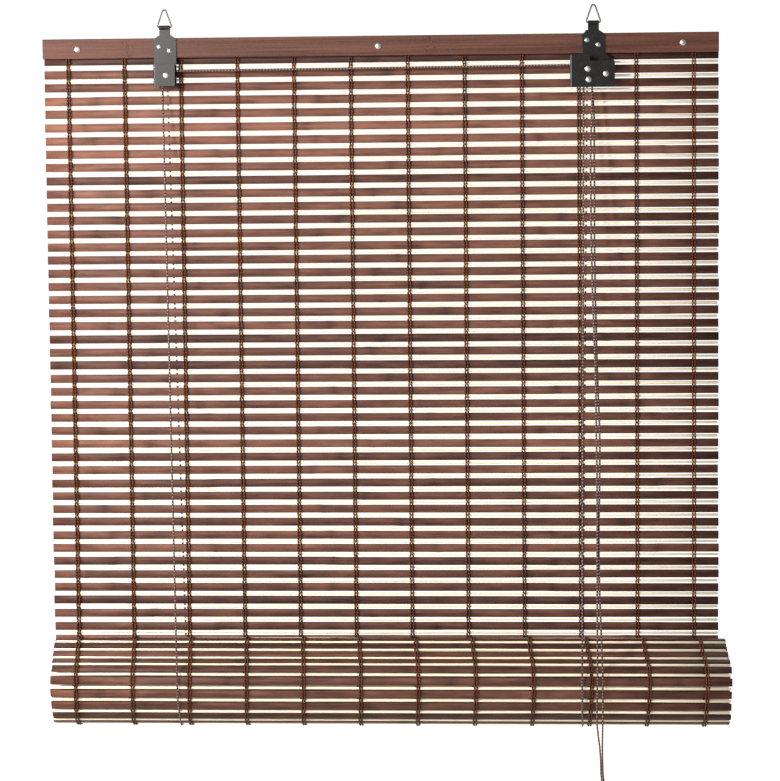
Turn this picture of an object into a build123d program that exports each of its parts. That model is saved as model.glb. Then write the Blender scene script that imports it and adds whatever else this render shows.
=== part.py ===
from build123d import *
from math import cos, exp, hypot, pi, radians, sin, tan
import os

os.makedirs("parts", exist_ok=True)

# Bamboo roll up blind: a woven sheet of flat bamboo slats and round sticks hangs from a
# clamped wooden headrail, and two cords carry its rolled-up lower end. Millimetres.
# X runs along the rail to the right, Y to the back, Z up. The origin is midway between the
# two points where the hanging rings sit on their hooks, in the plane of the rings.

# ---- Driving sizes ----
blind_width = 800.0
rail_height = 23.5
rail_thick = 7.75
rail_top_z = -32.0
sheet_y = 12.0
rail_screw_inset = 42.0
rail_screw_drop = 12.2

slat_width = 9.4
slat_thick = 2.0
stick_dia = 2.4
weave_pitch = 15.8
first_slat_drop = 5.5
flat_slat_count = 49

warp_count = 12
warp_margin = 29.0
warp_width = 4.4
warp_thick = 0.5
warp_clearance = 0.1

steel_thick = 1.2
plate_width = 26.4
neck_width = 13.0
ring_x = 253.25
ring_wire = 1.8
ring_bar_rise = 12.3
ring_width = 18.0
ring_top_radius = 2.4
ring_corner_radius = 2.0
shoulder_rise = 3.6
fold_radius = 2.0

box_height = 26.1
box_drop = 30.8
left_pocket = 8.4
left_pulley_x = -251.3
left_pulley_drop = 44.2

lock_left_x = 225.7
lock_right_x = 278.0
lock_top_drop = 25.4
lock_bottom_drop = 63.1
lock_step_x = 249.0
lock_step_drop = 32.6
lock_pocket = 12.6
lock_pulley_x = 246.5
lock_pulley_drop = 42.1
anvil_x = 247.5
anvil_drop = 54.5
anvil_radius = 2.0
pawl_x = 267.7
pawl_drop = 48.0
pawl_thick = 10.4
pawl_boss_radius = 4.2

cord_dia = 2.0
groove_centre_radius = 5.0
groove_pitch = 4.2
groove_flare = 0.9
pulley_radius = 6.5
rivet_radius = 1.55
rivet_head_radius = 3.3
rivet_head_height = 1.2
screw_radius = 1.4
screw_head_radius = 3.6
screw_head_height = 1.8
small_head_radius = 2.9

roll_radius = 50.0
roll_offset = 52.5
roll_z = -793.3
roll_shift = 9.0
upper_dent = 6.3
upper_dent_at = 65.0
lower_dent = 4.0
lower_dent_at = -47.0
dent_spread = 20.0
roll_outline_points = 48
batten_thick = 7.0
batten_height = 22.0

coil_radius = 12.0
coil_half_section = 6.0
coil_width = 14.0
coil_z = -931.0
coil_x = 259.5
knot_radius = 2.6

# ---- Clearances ----
seat_clearance = 0.02
running_clearance = 0.05
ring_clearance = 0.1
groove_clearance = 0.1
clamp_clearance = 0.05
cord_hole_clearance = 0.6
end_gap = 0.2
face_gap = 0.1
nose_clearance = 0.3
core_clearance = 0.3

# ---- Places worked out from the sizes ----
half_width = blind_width / 2
warp_face = stick_dia / 2 + warp_clearance
weave_half = warp_face + warp_thick
rail_inner = weave_half + clamp_clearance
rail_outer = rail_inner + rail_thick
rail_front_y = sheet_y - rail_outer
rail_back_y = sheet_y + rail_outer
plate_back_y = rail_front_y
plate_front_y = plate_back_y - steel_thick
sheet_bottom_z = rail_top_z - first_slat_drop - weave_pitch * flat_slat_count
left_cheek_y = plate_front_y - left_pocket
lock_cheek_y = plate_front_y - lock_pocket
lift_y = plate_front_y - left_pocket / 2
lock_rear_y = lift_y
lock_front_y = lock_rear_y - groove_pitch
lock_centre_y = (lock_rear_y + lock_front_y) / 2
ring_bar_z = rail_top_z + ring_bar_rise
roll_y = sheet_y - roll_offset
cord_radius = cord_dia / 2
core_weave_half = weave_half + clamp_clearance
batten_corner = ((core_weave_half + batten_thick) ** 2 + batten_height**2 / 4) ** 0.5
core_radius = batten_corner + core_clearance


def save(shape, name):
    export_step(shape, "parts/" + name + ".step")


def box_between(low, high):
    """A box from its lowest to its highest corner."""
    size = [b - a for a, b in zip(low, high)]
    centre = [(a + b) / 2 for a, b in zip(low, high)]
    return Pos(*centre) * Box(*size)


def rod(radius, start, end):
    """A straight round rod from one point to another."""
    a = Vector(*start)
    b = Vector(*end)
    return extrude(Plane(a, z_dir=b - a) * Circle(radius), (b - a).length)


def y_rod(radius, x, z, front_y, back_y):
    """A round rod along Y."""
    return rod(radius, (x, front_y, z), (x, back_y, z))


def headed_pin(x, z, seat_y, tip_y, radius, head_radius, head_height):
    """A pin along Y with a low domed head on the front of seat_y."""
    cap = head_height * 0.65
    dome_radius = (head_radius**2 + cap**2) / (2 * cap)
    dome = Pos(x, seat_y - head_height + dome_radius, z) * Sphere(dome_radius)
    head = y_rod(head_radius, x, z, seat_y - head_height, seat_y) & dome
    return head + y_rod(radius, x, z, seat_y, tip_y)


def corner_radii(points):
    """As large a bend at each corner as its two runs allow."""
    radii = []
    for before, at, after in zip(points, points[1:], points[2:]):
        run_in = Vector(*at) - Vector(*before)
        run_out = Vector(*after) - Vector(*at)
        half_turn = radians(run_in.get_angle(run_out)) / 2
        shorter = min(run_in.length, run_out.length)
        radii.append(0.45 * shorter / tan(half_turn))
    return radii


def cord_tube(name, points, radii=None):
    """A cord along straight runs joined by tangent arcs."""
    chosen = radii or corner_radii(points)
    path = FilletPolyline(*points, radius=chosen) if chosen else Line(*points)
    tube = sweep(Plane(path @ 0, z_dir=path % 0) * Circle(cord_radius), path=path)
    share = tube.volume / (pi * cord_radius**2 * path.length)
    print(name, "length", round(path.length, 1), "volume share", round(share, 4))
    print("  radii", [round(r, 1) for r in chosen])
    return tube


# ---- Headrail: two laths that clamp the sheet's first slat ----
rail_screw_xs = [-half_width + rail_screw_inset, 0.0, half_width - rail_screw_inset]
rail_screw_z = rail_top_z - rail_screw_drop


def rail_lath(inner_y, outer_y):
    low = (-half_width, min(inner_y, outer_y), rail_top_z - rail_height)
    high = (half_width, max(inner_y, outer_y), rail_top_z)
    lath = box_between(low, high)
    long_edges = lath.edges().filter_by(Axis.X).group_by(Axis.Y)
    outside = long_edges[0] if outer_y < inner_y else long_edges[-1]
    return fillet(outside, 1.2)


front_lath = rail_lath(sheet_y - rail_inner, rail_front_y)
back_lath = rail_lath(sheet_y + rail_inner, rail_back_y)
screw_tip_y = sheet_y + rail_inner + rail_thick * 0.7
for x in rail_screw_xs:
    hole = y_rod(screw_radius + seat_clearance, x, rail_screw_z, rail_front_y - 1, screw_tip_y)
    front_lath -= hole
    back_lath -= hole

bracket_screws = {
    "left": [(-ring_x - 6.9, 10.2), (-ring_x + 5.4, 15.0)],
    "lock": [(ring_x - 7.6, 8.2), (ring_x + 5.4, 13.8)],
}
bracket_screw_tip_y = sheet_y - rail_inner - 0.5
for places in bracket_screws.values():
    for x, drop in places:
        z = rail_top_z - drop
        front_lath -= y_rod(
            screw_radius + seat_clearance, x, z, rail_front_y - 1, bracket_screw_tip_y
        )

back_cord_xs = {"left": -ring_x - 1.0, "right": ring_x - 7.0}
back_cord_y = sheet_y + rail_inner + 3.85
back_hole_radius = cord_radius + cord_hole_clearance
for x in back_cord_xs.values():
    back_lath -= rod(
        back_hole_radius,
        (x, back_cord_y, rail_top_z - rail_height - 1),
        (x, back_cord_y, rail_top_z + 1),
    )

save(front_lath, "headrail_front")
save(back_lath, "headrail_back")

rail_screws = [
    headed_pin(
        x, rail_screw_z, rail_front_y, screw_tip_y - 0.3,
        screw_radius, screw_head_radius, screw_head_height,
    )
    for x in rail_screw_xs
]
save(Compound(children=rail_screws), "headrail_screws")


# ---- The hanging sheet: slats, sticks and warp cords ----
def slat_top(index):
    return rail_top_z - first_slat_drop - weave_pitch * index


slats = []
for index in range(flat_slat_count):
    top = slat_top(index)
    low = (-half_width, sheet_y - slat_thick / 2, top - slat_width)
    high = (half_width, sheet_y + slat_thick / 2, top)
    slats.append(box_between(low, high))
for x in rail_screw_xs:
    slats[0] -= y_rod(screw_radius + 0.2, x, rail_screw_z, sheet_y - 5, sheet_y + 5)
save(Compound(children=slats), "flat_slats")

stick_drop = slat_width + (weave_pitch - slat_width) / 2
sticks = []
for index in range(flat_slat_count):
    z = slat_top(index) - stick_drop
    sticks.append(rod(stick_dia / 2, (-half_width, sheet_y, z), (half_width, sheet_y, z)))
save(Compound(children=sticks), "flat_sticks")

warp_spacing = (blind_width - 2 * warp_margin) / (warp_count - 1)
for number in range(warp_count):
    x = -half_width + warp_margin + warp_spacing * number
    strips = []
    for side in (-1, 1):
        near = sheet_y + side * warp_face
        far = sheet_y + side * weave_half
        low = (x - warp_width / 2, min(near, far), sheet_bottom_z)
        high = (x + warp_width / 2, max(near, far), rail_top_z - 2)
        strips.append(box_between(low, high))
    save(Compound(children=strips), f"warp_{number + 1:02d}")


# ---- Hanging rings and the folded steel brackets ----
def ring_apex_rise(half, rise):
    """Height of the triangle's point over its bar, so that its rounded top ends at `rise`."""
    apex = rise
    for _ in range(40):
        apex = rise + ring_top_radius * (hypot(half, apex) / half - 1)
    return apex


def hanging_ring(x):
    """A wire triangle: a straight bar in the bracket's curl and a rounded point on the hook."""
    half = ring_width / 2
    apex = ring_apex_rise(half, ring_wire / 2 - ring_bar_z)
    outline = FilletPolyline(
        (x - half, 0, ring_bar_z),
        (x + half, 0, ring_bar_z),
        (x, 0, ring_bar_z + apex),
        radius=[ring_corner_radius, ring_corner_radius, ring_top_radius],
        close=True,
    )
    return sweep(Plane(outline @ 0, z_dir=outline % 0) * Circle(ring_wire / 2), path=outline)


for side, name in ((-1, "left_ring"), (1, "right_ring")):
    save(hanging_ring(side * ring_x), name)


def sheet_at(face, front_y):
    """A flat piece of the steel sheet whose front is at front_y."""
    return Pos(0, front_y + steel_thick, 0) * extrude(Plane.XZ * face, steel_thick)


def plate_with_curl(x):
    """The flat plate on the rail, its narrow neck and the curl that holds the ring's bar."""
    half_plate = plate_width / 2
    half_neck = neck_width / 2
    outline = make_face(
        Polyline(
            (x - half_plate, rail_top_z - rail_height - 2),
            (x + half_plate, rail_top_z - rail_height - 2),
            (x + half_plate, rail_top_z - 0.8),
            (x + half_neck, rail_top_z + shoulder_rise),
            (x - half_neck, rail_top_z + shoulder_rise),
            (x - half_plate, rail_top_z - 0.8),
            close=True,
        )
    )
    plate = sheet_at(outline, plate_front_y)
    curl_inner = ring_wire / 2 + ring_clearance
    curl_outer = plate_back_y
    neck = box_between(
        (x - neck_width / 2, plate_front_y, rail_top_z - 3),
        (x + neck_width / 2, plate_back_y, ring_bar_z),
    )
    curl = rod(
        curl_outer, (x - neck_width / 2, 0, ring_bar_z), (x + neck_width / 2, 0, ring_bar_z)
    )
    bore = rod(
        curl_inner, (x - neck_width, 0, ring_bar_z), (x + neck_width, 0, ring_bar_z)
    )
    return plate + neck + curl - bore


def pierce(shape, places, radius, front_y, back_y):
    for x, z in places:
        shape -= y_rod(radius, x, z, front_y, back_y)
    return shape


def screw_places(key):
    return [(x, rail_top_z - drop) for x, drop in bracket_screws[key]]


def rounded_fold(folded):
    """Rounds the outside of the fold at the front left edge of a wall and cheek."""
    upright = folded.edges().filter_by(Axis.Z)
    front = upright.group_by(Axis.Y)[0]
    return fillet(front.sort_by(Axis.X)[0], fold_radius)


rivet_hole = rivet_radius + seat_clearance
screw_hole = screw_radius + seat_clearance
box_top_z = rail_top_z - box_drop
box_bottom_z = box_top_z - box_height
left_pulley_z = rail_top_z - left_pulley_drop
left_plate_x = -ring_x - plate_width / 2

left_bracket = plate_with_curl(-ring_x)
left_bracket += box_between(
    (left_plate_x, plate_front_y, box_bottom_z),
    (left_plate_x + plate_width, plate_back_y, rail_top_z - rail_height),
)
left_wall = box_between(
    (left_plate_x, left_cheek_y - steel_thick, box_bottom_z),
    (left_plate_x + steel_thick, plate_front_y, box_top_z),
)
left_cheek = box_between(
    (left_plate_x, left_cheek_y - steel_thick, box_bottom_z),
    (left_plate_x + plate_width - 0.6, left_cheek_y, box_top_z),
)
free_corners = left_cheek.edges().filter_by(Axis.Y).group_by(Axis.X)[-1]
left_bracket += rounded_fold(left_wall + fillet(free_corners, 2.0))
left_pins = [(left_pulley_x, left_pulley_z)]
left_bracket = pierce(
    left_bracket, screw_places("left"), screw_hole, plate_front_y - 1, plate_back_y + 1
)
left_bracket = pierce(left_bracket, left_pins, rivet_hole, left_cheek_y - 5, plate_back_y + 1)
save(left_bracket, "left_bracket")

lock_top_z = rail_top_z - lock_top_drop
lock_bottom_z = rail_top_z - lock_bottom_drop
lock_pulley_z = rail_top_z - lock_pulley_drop
anvil_z = rail_top_z - anvil_drop
pawl_z = rail_top_z - pawl_drop
lock_pins = [(lock_pulley_x, lock_pulley_z), (anvil_x, anvil_z), (pawl_x, pawl_z)]

lock_back = make_face(
    Polyline(
        (lock_left_x, lock_bottom_z),
        (lock_right_x, lock_bottom_z),
        (lock_right_x, rail_top_z - lock_step_drop),
        (ring_x + plate_width / 2, lock_top_z + 2),
        (ring_x - plate_width / 2, lock_top_z + 2),
        (lock_left_x, lock_top_z),
        close=True,
    )
)
lock_front = make_face(
    Polyline(
        (lock_left_x, lock_bottom_z),
        (lock_right_x, lock_bottom_z),
        (lock_right_x, rail_top_z - lock_step_drop),
        (lock_step_x, rail_top_z - lock_step_drop),
        (lock_step_x, lock_top_z),
        (lock_left_x, lock_top_z),
        close=True,
    )
)


lock_housing = plate_with_curl(ring_x)
lock_housing += sheet_at(lock_back, plate_front_y)
lock_cheek = sheet_at(lock_front, lock_cheek_y - steel_thick)
side_wall = box_between(
    (lock_left_x, lock_cheek_y - steel_thick, lock_bottom_z),
    (lock_left_x + steel_thick, plate_front_y, lock_top_z),
)
cord_slot_z = lock_pulley_z + groove_centre_radius
cord_slot = box_between(
    (lock_left_x - 1, lock_rear_y - 2.4, cord_slot_z - 3.0),
    (lock_left_x + steel_thick + 1, lock_rear_y + 2.4, cord_slot_z + 3.0),
)
lock_housing += rounded_fold(side_wall + lock_cheek) - cord_slot
lock_housing = pierce(
    lock_housing, screw_places("lock"), screw_hole, plate_front_y - 1, plate_back_y + 1
)
lock_housing = pierce(lock_housing, lock_pins, rivet_hole, lock_cheek_y - 5, plate_back_y + 1)
save(lock_housing, "lock_housing")

for key, name in (("left", "left_bracket_screws"), ("lock", "lock_screws")):
    screws = [
        headed_pin(
            x, z, plate_front_y, bracket_screw_tip_y - 0.3,
            screw_radius, small_head_radius, screw_head_height,
        )
        for x, z in screw_places(key)
    ]
    save(Compound(children=screws), name)


# ---- Pulleys, pins and the pawl of the cord lock ----
def pulley(x, z, groove_ys, width):
    """A turned wheel with one round groove for each cord."""
    centre_y = sum(groove_ys) / len(groove_ys)
    wheel = y_rod(pulley_radius, x, z, centre_y - width / 2, centre_y + width / 2)
    for y in groove_ys:
        ring_radius = groove_centre_radius + groove_flare
        groove = Torus(ring_radius, groove_flare + cord_radius + groove_clearance)
        wheel -= Pos(x, y, z) * Rot(90, 0, 0) * groove
    wheel -= y_rod(rivet_radius + running_clearance, x, z, centre_y - width, centre_y + width)
    return wheel


def rivet(x, z, cheek_y):
    """A rivet through both cheeks, domed in front and set over behind."""
    pin = headed_pin(
        x, z, cheek_y - steel_thick, plate_back_y + 0.8,
        rivet_radius, rivet_head_radius, rivet_head_height,
    )
    return pin + y_rod(2.6, x, z, plate_back_y, plate_back_y + 0.8)


left_wheel_width = left_pocket - 1.6
lock_wheel_width = lock_pocket - 2.0
save(pulley(left_pulley_x, left_pulley_z, [lift_y], left_wheel_width), "left_pulley")
save(rivet(left_pulley_x, left_pulley_z, left_cheek_y), "left_pulley_rivet")
save(
    pulley(lock_pulley_x, lock_pulley_z, [lock_rear_y, lock_front_y], lock_wheel_width),
    "lock_pulley",
)
save(rivet(lock_pulley_x, lock_pulley_z, lock_cheek_y), "lock_pulley_rivet")
save(rivet(pawl_x, pawl_z, lock_cheek_y), "pawl_rivet")

anvil = rivet(anvil_x, anvil_z, lock_cheek_y)
anvil += y_rod(anvil_radius, anvil_x, anvil_z, lock_cheek_y + face_gap, plate_front_y - face_gap)
save(anvil, "lock_anvil_pin")

cord_out_x = lock_pulley_x + groove_centre_radius
nose_x = cord_out_x + cord_radius + nose_clearance
nose_z = anvil_z + 1.5
pawl_arm = make_face(
    Polyline(
        (pawl_x + 1.0, pawl_z - pawl_boss_radius),
        (nose_x + 3.5, nose_z - 3.2),
        (nose_x + 0.6, nose_z - 2.4),
        (nose_x + 1.2, nose_z - 1.6),
        (nose_x, nose_z - 0.8),
        (nose_x + 1.0, nose_z),
        (nose_x, nose_z + 0.8),
        (nose_x + 1.2, nose_z + 1.6),
        (nose_x + 0.8, nose_z + 2.6),
        (pawl_x - 1.0, pawl_z + pawl_boss_radius * 0.95),
        close=True,
    )
)
pawl_back_y = lock_centre_y + pawl_thick / 2
pawl = Pos(0, pawl_back_y, 0) * extrude(Plane.XZ * pawl_arm, pawl_thick)
pawl += y_rod(pawl_boss_radius, pawl_x, pawl_z, pawl_back_y - pawl_thick, pawl_back_y)
pawl -= y_rod(
    rivet_radius + running_clearance, pawl_x, pawl_z, pawl_back_y - 2 * pawl_thick, pawl_back_y + 1
)
save(pawl, "lock_pawl")


# ---- The rolled-up end: its turns are one solid round the bottom rail ----
def roll_outline_radius(angle):
    """Distance of the outline from the axis: a circle, a little flat above and below the front."""
    upper = upper_dent * exp(-(((angle - upper_dent_at) / dent_spread) ** 2))
    lower = lower_dent * exp(-(((angle - lower_dent_at) / dent_spread) ** 2))
    return roll_radius - upper - lower


outline = []
for step in range(roll_outline_points):
    angle = -180 + 360 * step / roll_outline_points
    reach = roll_outline_radius(angle)
    outline.append((-reach * cos(radians(angle)), reach * sin(radians(angle))))
section = make_face(Spline(*outline, periodic=True)) - Circle(core_radius)
roll_left = -half_width + roll_shift
roll_plane = Plane(origin=(roll_left, roll_y, roll_z), x_dir=(0, 1, 0), z_dir=(1, 0, 0))
save(extrude(roll_plane * section, blind_width), "roll_turns")

roll_screw_xs = [x + roll_shift for x in rail_screw_xs]
batten_front = box_between(
    (roll_left, roll_y - core_weave_half - batten_thick, roll_z - batten_height / 2),
    (roll_left + blind_width, roll_y - core_weave_half, roll_z + batten_height / 2),
)
batten_back = box_between(
    (roll_left, roll_y + core_weave_half, roll_z - batten_height / 2),
    (roll_left + blind_width, roll_y + core_weave_half + batten_thick, roll_z + batten_height / 2),
)
core_slat = box_between(
    (roll_left, roll_y - slat_thick / 2, roll_z - slat_width / 2),
    (roll_left + blind_width, roll_y + slat_thick / 2, roll_z + slat_width / 2),
)
batten_tip_y = roll_y + core_weave_half + batten_thick * 0.7
for x in roll_screw_xs:
    hole = y_rod(screw_radius + seat_clearance, x, roll_z, roll_y - 12, batten_tip_y)
    batten_front -= hole
    batten_back -= hole
    core_slat -= hole
save(batten_front, "bottom_rail_front")
save(batten_back, "bottom_rail_back")
save(core_slat, "bottom_rail_slat")
batten_front_y = roll_y - core_weave_half - batten_thick
roll_screws = [
    headed_pin(
        x, roll_z, batten_front_y, batten_tip_y - 0.3,
        screw_radius, screw_head_radius, screw_head_height,
    )
    for x in roll_screw_xs
]
save(Compound(children=roll_screws), "bottom_rail_screws")


# ---- Lift cords: over the pulleys, down in front, under the roll and up behind ----
left_groove_x = left_pulley_x - groove_centre_radius
left_top_z = left_pulley_z + groove_centre_radius
lock_groove_left_x = lock_pulley_x - groove_centre_radius
lock_groove_top_z = lock_pulley_z + groove_centre_radius
left_cord_out_z = box_bottom_z - 2.0
lock_cord_out_z = lock_bottom_z - 2.0

over_pulleys = {
    "top_cord": (
        [
            (left_groove_x, lift_y, left_cord_out_z),
            (left_groove_x, lift_y, left_top_z),
            (cord_out_x, lock_rear_y, lock_groove_top_z),
            (cord_out_x, lock_rear_y, lock_cord_out_z),
        ],
        [groove_centre_radius] * 2,
    ),
    "right_cord_over_pulley": (
        [
            (lock_groove_left_x, lock_front_y, lock_cord_out_z),
            (lock_groove_left_x, lock_front_y, lock_groove_top_z),
            (cord_out_x, lock_front_y, lock_groove_top_z),
            (cord_out_x, lock_front_y, lock_cord_out_z),
        ],
        [groove_centre_radius - 0.03] * 2,
    ),
}
for name, (points, radii) in over_pulleys.items():
    save(cord_tube(name, points, radii), name)

shoulder_y = -91.4
shoulder_z = -786.8
back_y = 15.9
back_z = -797.0
lift_xs = {"left": (-238.0, -240.5), "right": (236.8, 238.0)}
front_starts = {
    "left": (left_groove_x, lift_y, left_cord_out_z - end_gap),
    "right": (lock_groove_left_x, lock_front_y, lock_cord_out_z - end_gap),
}
for side, (front_x, back_x) in lift_xs.items():
    shoulder = (front_x, shoulder_y, shoulder_z)
    name = side + "_lift_cord_front"
    save(cord_tube(name, [front_starts[side], shoulder]), name)

    under = front_x * 0.5 + back_x * 0.5
    loop = [
        (front_x, shoulder_y, shoulder_z - end_gap),
        (front_x, -92.0, -807.6),
        (front_x, -75.2, -828.6),
        (under, -54.0, -844.8),
        (under, -26.6, -845.2),
        (under, -2.6, -831.4),
        (back_x, 15.9, -813.4),
        (back_x, back_y, back_z - end_gap),
    ]
    save(cord_tube(side + "_lift_loop", loop), side + "_lift_loop")

    knot_seat = (back_cord_xs[side], back_cord_y, rail_top_z)
    name = side + "_lift_cord_back"
    save(cord_tube(name, [(back_x, back_y, back_z), knot_seat]), name)

back_knots = []
for x in back_cord_xs.values():
    knot = Pos(x, back_cord_y, rail_top_z + face_gap + 1.8) * Sphere(knot_radius)
    ground = box_between(
        (x - 5, back_cord_y - 5, rail_top_z - 5),
        (x + 5, back_cord_y + 5, rail_top_z + face_gap),
    )
    back_knots.append(knot - ground)
save(Compound(children=back_knots), "back_cord_knots")

# ---- Pull cords: loose from the lock, over the roll's front, into a small tied coil ----
split_z = -786.0
pull_routes = {
    "pull_cord_a": [
        (cord_out_x, lock_front_y, lock_cord_out_z - end_gap),
        (251.2, -11.0, -122.1),
        (249.0, -16.8, -168.8),
        (249.3, -23.4, -221.3),
        (249.7, -29.9, -273.7),
        (250.6, -37.1, -331.9),
        (252.8, -44.3, -390.1),
        (254.2, -50.8, -442.3),
        (254.5, -57.3, -494.5),
        (255.1, -64.5, -552.4),
        (255.2, -71.7, -610.2),
        (254.8, -78.9, -667.9),
        (254.7, -85.3, -719.9),
        (254.8, -91.0, -766.0),
        (254.2, -95.4, -806.4),
        (253.3, -95.8, -835.9),
        (257.2, -95.9, -860.7),
        (258.2, -95.7, -883.2),
        (258.4, -95.8, -902.1),
        (258.5, -95.7, -912.7),
    ],
    "pull_cord_b": [
        (cord_out_x, lock_rear_y, lock_cord_out_z - end_gap),
        (254.1, -6.3, -122.1),
        (253.6, -12.4, -168.9),
        (253.8, -19.2, -221.4),
        (253.3, -26.0, -273.9),
        (254.0, -33.6, -332.1),
        (255.2, -41.2, -390.2),
        (256.4, -48.0, -442.5),
        (258.7, -54.8, -494.7),
        (258.3, -62.4, -552.6),
        (256.9, -69.8, -610.4),
        (257.1, -77.2, -668.1),
        (258.8, -84.2, -719.9),
        (260.6, -90.0, -766.0),
        (260.9, -94.5, -806.4),
        (260.5, -94.6, -835.9),
        (259.9, -94.3, -860.7),
        (260.3, -94.2, -883.2),
        (260.8, -94.4, -902.1),
        (260.9, -94.3, -912.7),
    ],
}


def point_on_run(start, end, z):
    """The point at height z on the straight run from start to end."""
    share = (z - start[2]) / (end[2] - start[2])
    return tuple(a + share * (b - a) for a, b in zip(start, end))


for name, route in pull_routes.items():
    above = [point for point in route if point[2] > split_z]
    below = [point for point in route if point[2] < split_z]
    upper_end = point_on_run(above[-1], below[0], split_z)
    lower_start = point_on_run(above[-1], below[0], split_z - end_gap)
    save(cord_tube(name + "_upper", above + [upper_end]), name + "_upper")
    save(cord_tube(name + "_lower", [lower_start] + below), name + "_lower")

coil_y = -95.0
coil_outer = coil_radius + coil_half_section
coil_inner = coil_radius - coil_half_section
coil_front_y = coil_y - coil_width / 2
coil_back_y = coil_y + coil_width / 2
coil = y_rod(coil_outer, coil_x, coil_z, coil_front_y, coil_back_y)
coil -= y_rod(coil_inner, coil_x, coil_z, coil_front_y - 1, coil_back_y + 1)
save(coil, "cord_coil")

tie_thick = 1.6
tie_half_width = 2.5
tie_seat_front = coil_front_y - face_gap
tie_seat_back = coil_back_y + face_gap
tie_seat_bottom = coil_z - coil_outer - face_gap
tie_seat_top = coil_z - coil_inner + 0.7
tie_outside = box_between(
    (coil_x - tie_half_width, tie_seat_front - tie_thick, tie_seat_bottom - tie_thick),
    (coil_x + tie_half_width, tie_seat_back + tie_thick, tie_seat_top + 0.9),
)
tie_inside = box_between(
    (coil_x - tie_half_width * 2, tie_seat_front, tie_seat_bottom),
    (coil_x + tie_half_width * 2, tie_seat_back, tie_seat_top),
)
save(tie_outside - tie_inside, "cord_tie")

end_length = 13.0
cord_ends = []
knots = []
for x, y in ((coil_x - 5.0, coil_y - 1.5), (coil_x + 4.6, coil_y + 1.5)):
    surface_z = coil_z - (coil_outer**2 - (abs(x - coil_x) - cord_radius) ** 2) ** 0.5
    top_z = surface_z - face_gap
    cord_ends.append(rod(cord_radius, (x, y, top_z - end_length), (x, y, top_z)))
    knots.append(Pos(x, y, top_z - end_length - face_gap - knot_radius) * Sphere(knot_radius))
save(Compound(children=cord_ends), "cord_ends")
save(Compound(children=knots), "cord_end_knots")
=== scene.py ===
from functools import partial

import bpy
import numpy as np
from mathutils import Matrix, Vector


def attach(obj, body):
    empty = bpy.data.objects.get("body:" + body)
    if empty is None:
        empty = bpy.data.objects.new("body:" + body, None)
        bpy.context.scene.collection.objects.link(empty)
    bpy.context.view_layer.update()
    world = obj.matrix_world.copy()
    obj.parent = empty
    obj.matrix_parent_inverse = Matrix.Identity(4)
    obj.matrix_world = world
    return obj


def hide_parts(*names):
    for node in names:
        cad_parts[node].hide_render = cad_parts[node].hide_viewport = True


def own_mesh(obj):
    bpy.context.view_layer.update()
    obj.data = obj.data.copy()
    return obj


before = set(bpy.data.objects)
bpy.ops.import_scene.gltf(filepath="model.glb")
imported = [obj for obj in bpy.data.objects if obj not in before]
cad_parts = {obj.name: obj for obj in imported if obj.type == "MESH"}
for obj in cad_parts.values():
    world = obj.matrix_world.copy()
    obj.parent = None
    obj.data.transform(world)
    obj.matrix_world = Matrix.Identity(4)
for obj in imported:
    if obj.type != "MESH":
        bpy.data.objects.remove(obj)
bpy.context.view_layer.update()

bl_info = {
    "name": "Bamboo roll up blind",
    "version": (1, 0, 0),
    "blender": (4, 5, 0),
    "location": "3D View > Sidebar > Blind",
    "description": "Woven bamboo slats, a rolled end, steel brackets and cords",
    "category": "Add Mesh",
}

# Routes of the cords, in metres: the same points as the solid model's cords.
LEFT_OUT = (-0.2563, -0.0030, -0.0909)
LOCK_REAR_OUT = (0.2515, -0.0030, -0.0971)
LOCK_FRONT_OUT = (0.2515, -0.0072, -0.0971)
OVER_PULLEYS = {
    "top_cord": [
        LEFT_OUT, (-0.2563, -0.0030, -0.0770), (-0.2561, -0.0030, -0.0727),
        (-0.2527, -0.0030, -0.0712), (-0.2400, -0.0030, -0.0711), (0.2360, -0.0030, -0.0691),
        (0.2478, -0.0030, -0.0690), (0.2513, -0.0030, -0.0706), (0.2515, -0.0030, -0.0750),
        LOCK_REAR_OUT,
    ],
    "right_cord_over_pulley": [
        (0.2415, -0.0072, -0.0971), (0.2415, -0.0072, -0.0750), (0.2416, -0.0072, -0.0703),
        (0.2440, -0.0072, -0.0690), (0.2490, -0.0072, -0.0690), (0.2514, -0.0072, -0.0703),
        (0.2515, -0.0072, -0.0750), LOCK_FRONT_OUT,
    ],
}
LIFT_FRONT = {
    "left_lift_cord_front": [(-0.2563, -0.0030, -0.0911), (-0.2380, -0.0914, -0.7868)],
    "right_lift_cord_front": [(0.2415, -0.0072, -0.0973), (0.2368, -0.0914, -0.7868)],
}
LIFT_BACK = {
    "left_lift_cord_back": [(-0.2405, 0.0159, -0.7970), (-0.25425, 0.0177, -0.0320)],
    "right_lift_cord_back": [(0.2380, 0.0159, -0.7970), (0.24625, 0.0177, -0.0320)],
}
LOOP_X = {
    "left_lift_loop": (-0.2380, -0.2380, -0.2380, -0.23925, -0.23925, -0.23925, -0.2405, -0.2405),
    "right_lift_loop": (0.2368, 0.2368, 0.2368, 0.2374, 0.2374, 0.2374, 0.2380, 0.2380),
}
LOOP_YZ = [
    (-0.0914, -0.7870), (-0.0920, -0.8076), (-0.0752, -0.8286), (-0.0540, -0.8474),
    (-0.0266, -0.8478), (-0.0010, -0.8332), (0.0159, -0.8134), (0.0159, -0.7972),
]
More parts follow.
